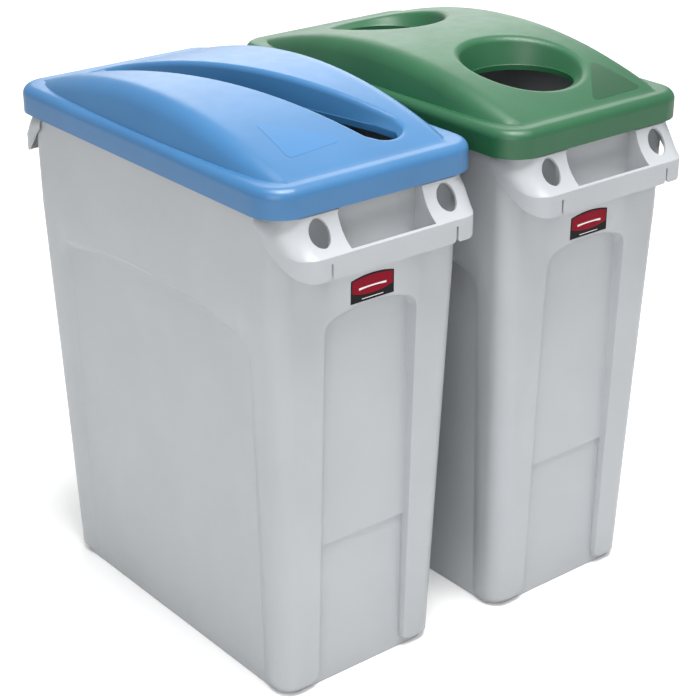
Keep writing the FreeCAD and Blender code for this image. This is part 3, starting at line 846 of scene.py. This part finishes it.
def add_pad(sheet, corners, skin, pad_skin):
    """A smooth three-cornered pad that lies on the dome, for a sign to be stuck on."""
    clear_selection()
    corners = [Vector(corner) for corner in corners]
    places = []
    for index, corner in enumerate(corners):
        before, after = corners[index - 1], corners[(index + 1) % 3]
        start = (before - corner).normalized()
        end = (after - corner).normalized()
        trim = PAD_CORNER / math.tan(start.angle(end) / 2)
        first, last = corner + start * trim, corner + end * trim
        for step in range(9):
            share = step / 8
            way_in, way_out = (1 - share) ** 2 * first, share**2 * last
            places.append(way_in + 2 * share * (1 - share) * corner + way_out)
    bpy.ops.mesh.primitive_circle_add(vertices=len(places), radius=0.01, fill_type="NGON")
    pad = bpy.context.object
    for corner, place in zip(pad.data.vertices, places):
        corner.co = (*place, 0)
    bpy.ops.object.mode_set(mode="EDIT")
    first_y = min(p.y for p in places)
    for cut in range(12):
        cut_y = first_y + PAD_SLICE * cut + PAD_SLICE / 2
        slice_picked(lambda f: True, (0, cut_y, 0), (0, 1, 0))
    bpy.ops.mesh.select_all(action="SELECT")
    bpy.ops.mesh.extrude_region()
    move_picked(lambda p: Vector((p.x, p.y, 1)))
    bpy.ops.mesh.select_all(action="SELECT")

    def lay_down(place):
        height = crown(place.x, place.y) + (PAD_PROUD if place.z > 0.5 else -PAD_SUNK)
        return Vector((place.x, place.y, height))

    move_picked(lay_down)
    bpy.ops.mesh.normals_make_consistent(inside=False)
    bpy.ops.object.mode_set(mode="OBJECT")
    pad.data.materials.append(pad_skin)
    sheet.data.materials.append(skin)
    clear_selection()
    pad.select_set(True)
    sheet.select_set(True)
    bpy.context.view_layer.objects.active = sheet
    bpy.ops.object.join()


# The green lid and its two round holes.  Each step of a mouth has a radius, a drop below
# the crown and the most it may take of the way down to the throat.  A step without that
# share has its height over the throat instead of a drop.
BLOCK_HALF = 0.096
HOLE_Y = 0.1210
HOLE_THROAT_Z = MARGIN_Z + 0.0068
HOLE_STEPS = [
    (0.0810, 0.0000, 0.00),
    (0.0785, 0.0004, 0.04),
    (0.0755, 0.0016, 0.14),
    (0.0730, 0.0036, 0.30),
    (0.0715, 0.0066, 0.50),
    (0.0650, 0.0016, None),
    (0.0637, 0.0000, None),
    (0.0635, -0.0060, None),
]
hole_rows = [0.2446, 0.2413, 0.238, 0.233, 0.225]
hole_rows += [0.217 - 0.016 * k for k in range(13)] + [0.0125]
hole_rows = sorted([-y for y in hole_rows] + [0.0] + hole_rows)
hole_blocks = [
    (-BLOCK_HALF, BLOCK_HALF, end * HOLE_Y - BLOCK_HALF, end * HOLE_Y + BLOCK_HALF)
    for end in (-1, 1)
]
bottle_lid = lid_sheet("bottle_lid_moulding", hole_rows, hole_blocks)
bpy.ops.object.mode_set(mode="OBJECT")
for block in hole_blocks:
    centre_y = (block[2] + block[3]) / 2

    def circle(radius, centre_y=centre_y):
        turns = [2 * math.pi * k / 48 for k in range(48)]
        return [(radius * math.cos(t), centre_y + radius * math.sin(t)) for t in turns]

    add_mouth(bottle_lid, block, circle, HOLE_STEPS, lambda x, y: HOLE_THROAT_Z)
finish_lid(bottle_lid)
BOTTLE_PAD = [(0.0820, -0.1560), (0.0960, -0.2270), (0.0120, -0.2290)]
add_pad(bottle_lid, BOTTLE_PAD, green_plastic, green_pad)

# The blue lid and its slanted slot.
SLOT_TURN = math.radians(16.6)
SLOT_REACH = 0.1920
SLOT_STEPS = [
    (0.0335, 0.0000, 0.00),
    (0.0315, 0.0004, 0.05),
    (0.0295, 0.0015, 0.16),
    (0.0280, 0.0034, 0.32),
    (0.0270, 0.0062, 0.52),
    (0.0238, 0.0012, None),
    (0.0230, 0.0000, None),
    (0.0229, -0.0070, None),
]
slot_rows = [0.2446, 0.2413, 0.238, 0.232] + [0.224 - 0.016 * k for k in range(14)]
slot_rows = sorted([-y for y in slot_rows] + [0.0] + slot_rows)
slot_block = (-BLOCK_HALF, BLOCK_HALF, -0.224, 0.224)
SLOT_THROAT = 0.0020
SLOT_THROAT_RISE = 0.0080
SLOT_THROAT_REACH = 0.2150
SLOT_END_STEPS = 18
SLOT_SIDE_STEPS = 22


def slot_outline(radius):
    """Places round the slot: two straight sides between two half circles."""
    places = []
    for end in (1, -1):
        for step in range(SLOT_END_STEPS + 1):
            turn = math.pi * step / SLOT_END_STEPS
            along = SLOT_REACH + radius * math.sin(turn)
            places.append((end * radius * math.cos(turn), end * along))
        for step in range(1, SLOT_SIDE_STEPS):
            places.append((-end * radius, end * SLOT_REACH * (1 - 2 * step / SLOT_SIDE_STEPS)))
    spin = Matrix.Rotation(SLOT_TURN, 2)
    return [tuple(spin @ Vector(place)) for place in places]


def slot_throat(x, y):
    """Height of the slot's inner edge, which is arched like the dome."""
    return MARGIN_Z + SLOT_THROAT + SLOT_THROAT_RISE * max(1 - (y / SLOT_THROAT_REACH) ** 2, 0)


paper_lid = lid_sheet("paper_lid_moulding", slot_rows, [slot_block])
bpy.ops.object.mode_set(mode="OBJECT")
add_mouth(paper_lid, slot_block, slot_outline, SLOT_STEPS, slot_throat)
finish_lid(paper_lid)
PAPER_PAD = [(-0.0690, -0.1290), (0.0020, -0.1960), (-0.0790, -0.2040)]
add_pad(paper_lid, PAPER_PAD, blue_plastic, blue_pad)

lids = (("paper", paper_lid, blue_plastic), ("bottle", bottle_lid, green_plastic))
for side, piece, skin in lids:
    piece.data.transform(Matrix.Translation(bin_centres[side]))
    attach(piece, side + "_cover")
    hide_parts(side + "_lid")
    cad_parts[side + "_lid"].data.materials.clear()
    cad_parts[side + "_lid"].data.materials.append(skin)


# ---------------------------------------------------------------------------------------
# The labels.  A small printed film with an arched top is stuck on the front wall above the
# recessed panel: black border, red field, black band below, with two pale rules instead of
# words.
# ---------------------------------------------------------------------------------------
def print_ink(name, colour):
    """Glossy printed film, slightly uneven."""
    material = bpy.data.materials.new(name)
    material.use_nodes = True
    nodes, links = material.node_tree.nodes, material.node_tree.links
    shader = nodes["Principled BSDF"]
    shader.inputs["Base Color"].default_value = colour
    shader.inputs["Specular IOR Level"].default_value = 0.06
    spot = nodes.new("ShaderNodeTexCoord").outputs["Object"]
    texture = nodes.new("ShaderNodeTexNoise")
    texture.inputs["Scale"].default_value = 220
    links.new(spot, texture.inputs["Vector"])
    sheen = nodes.new("ShaderNodeMapRange")
    sheen.inputs["To Min"].default_value = 0.28
    sheen.inputs["To Max"].default_value = 0.42
    links.new(texture.outputs["Fac"], sheen.inputs["Value"])
    links.new(sheen.outputs["Result"], shader.inputs["Roughness"])
    return material


label_inks = [
    print_ink("label_black", linear(22, 20, 22)),
    print_ink("label_red", linear(112, 7, 26)),
    print_ink("label_pale", linear(205, 200, 200)),
]
LABEL_HALF = 0.0300
LABEL_ARCH = 0.0040
WALL_Y, WALL_LEAN, WALL_FROM_Z, WALL_TALL = 0.2450, 0.0020, 0.480, 0.152
label_low, label_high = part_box("paper_label")
LABEL_SIDE_Z = label_high.z - LABEL_ARCH


def label_arch(x):
    """Rise of the label's top over its sides."""
    return LABEL_ARCH * (1 - (x / LABEL_HALF) ** 2)


def label_plate(name, half, low, high, lift, arched, bowed, ink):
    """A thin plate on the label with its own ink, a share of the arch on top and a bowed foot."""
    clear_selection()
    wall = -WALL_Y - WALL_LEAN * (low + high - 2 * WALL_FROM_Z) / 2 / WALL_TALL
    bpy.ops.mesh.primitive_cube_add(size=1, location=(0, wall - lift / 2, (low + high) / 2))
    plate = bpy.context.object
    plate.name = name
    plate.scale = (2 * half, lift, high - low)
    bpy.ops.object.transform_apply(location=True, rotation=True, scale=True)
    bpy.ops.object.mode_set(mode="EDIT")
    for cut in range(1, 12):
        slice_picked(lambda f: True, (half * (cut / 6 - 1), 0, 0), (1, 0, 0))
    pick("VERT", lambda v: v.co.z > high - 1e-5)
    side_arch = label_arch(half)
    move_picked(lambda p: Vector((p.x, p.y, p.z + arched * (label_arch(p.x) - side_arch))))
    pick("VERT", lambda v: v.co.z < low + 1e-5)
    move_picked(lambda p: Vector((p.x, p.y, p.z - bowed * (1 - (p.x / half) ** 2))))
    bpy.ops.object.mode_set(mode="OBJECT")
    plate.data.materials.clear()
    for material in label_inks:
        plate.data.materials.append(material)
    for face in plate.data.polygons:
        face.material_index = ink
    return plate


low_z = label_low.z
label_tall = LABEL_SIDE_Z - low_z
band_z = low_z + label_tall * 0.44
FIELD_HALF = LABEL_HALF - 0.0018
FIELD_TOP_Z = LABEL_SIDE_Z - 0.0014
plates = [
    label_plate("label_film", LABEL_HALF, low_z, LABEL_SIDE_Z, 0.00040, 1, 0, 0),
    label_plate("label_field", FIELD_HALF, band_z, FIELD_TOP_Z, 0.00046, 0.9, 0.0045, 1),
    label_plate("label_rule", 0.0190, band_z + 0.0022, band_z + 0.0046, 0.00066, 0.25, -0.0012, 2),
    label_plate("label_rule_low", 0.0150, low_z + 0.0026, low_z + 0.0034, 0.00056, 0, 0, 2),
]
clear_selection()
for plate in plates:
    plate.select_set(True)
bpy.context.view_layer.objects.active = plates[0]
bpy.ops.object.join()
label = plates[0]
for side in ("paper", "bottle"):
    piece = place_at(label, side, side + "_label_film")
    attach(piece, side + "_bin")
    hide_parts(side + "_label")
    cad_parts[side + "_label"].data.materials.clear()
    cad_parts[side + "_label"].data.materials.append(label_inks[1])
bpy.data.objects.remove(label)


# ---------------------------------------------------------------------------------------
# The studio: a pale floor that runs off to a bright surround, four soft boxes, and the
# camera above the bins, in front of them and to their left.
# ---------------------------------------------------------------------------------------
clear_selection()
bpy.ops.mesh.primitive_plane_add(size=30, location=(0, 0, -0.0005))
floor = bpy.context.object
floor.name = "studio_floor"
floor_paint = bpy.data.materials.new("studio_floor_paint")
floor_paint.use_nodes = True
floor_shader = floor_paint.node_tree.nodes["Principled BSDF"]
floor_shader.inputs["Base Color"].default_value = (0.94, 0.94, 0.94, 1)
floor_shader.inputs["Roughness"].default_value = 0.9
floor.data.materials.append(floor_paint)

scene = bpy.context.scene
scene.view_settings.view_transform = "Standard"
world = bpy.data.worlds.new("studio_surround")
world.use_nodes = True
surround = world.node_tree.nodes["Background"]
surround.inputs["Color"].default_value = (1, 1, 1, 1)
surround.inputs["Strength"].default_value = 0.62
scene.world = world


def soft_light(name, place, aim, size, power):
    """A square soft box that faces its aim."""
    lamp = bpy.data.lights.new(name, "AREA")
    lamp.size = size
    lamp.energy = power
    light = bpy.data.objects.new(name, lamp)
    scene.collection.objects.link(light)
    light.location = place
    light.rotation_euler = (Vector(aim) - Vector(place)).to_track_quat("-Z", "Y").to_euler()


soft_light("front_soft_box", (0.9, -2.2, 2.6), (0, 0, 0.35), 1.2, 5)
soft_light("left_soft_box", (-2.3, -2.0, 1.5), (0, 0, 0.35), 1.6, 34)
soft_light("top_soft_box", (-0.1, -0.6, 3.0), (0, 0, 0.4), 1.4, 125)
soft_light("rear_soft_box", (1.9, 2.3, 1.7), (0, 0, 0.5), 2.0, 30)

AZIMUTH, ELEVATION, ROLL = math.radians(-39.18), math.radians(24.72), math.radians(0.1)
CAMERA_PLACE = (-1.30170, -1.60243, 1.24007)
back_x = math.sin(AZIMUTH) * math.cos(ELEVATION)
back_y = -math.cos(AZIMUTH) * math.cos(ELEVATION)
back = Vector((back_x, back_y, math.sin(ELEVATION)))
level = Vector((math.cos(AZIMUTH), math.sin(AZIMUTH), 0))
upright = back.cross(level)
right = level * math.cos(ROLL) + upright * math.sin(ROLL)
up = upright * math.cos(ROLL) - level * math.sin(ROLL)
lens = bpy.data.cameras.new("camera")
lens.sensor_width = 36
lens.lens = 92.24
camera = bpy.data.objects.new("camera", lens)
scene.collection.objects.link(camera)
turned = Matrix((right, up, back)).transposed().to_4x4()
camera.matrix_world = Matrix.Translation(CAMERA_PLACE) @ turned
scene.camera = camera
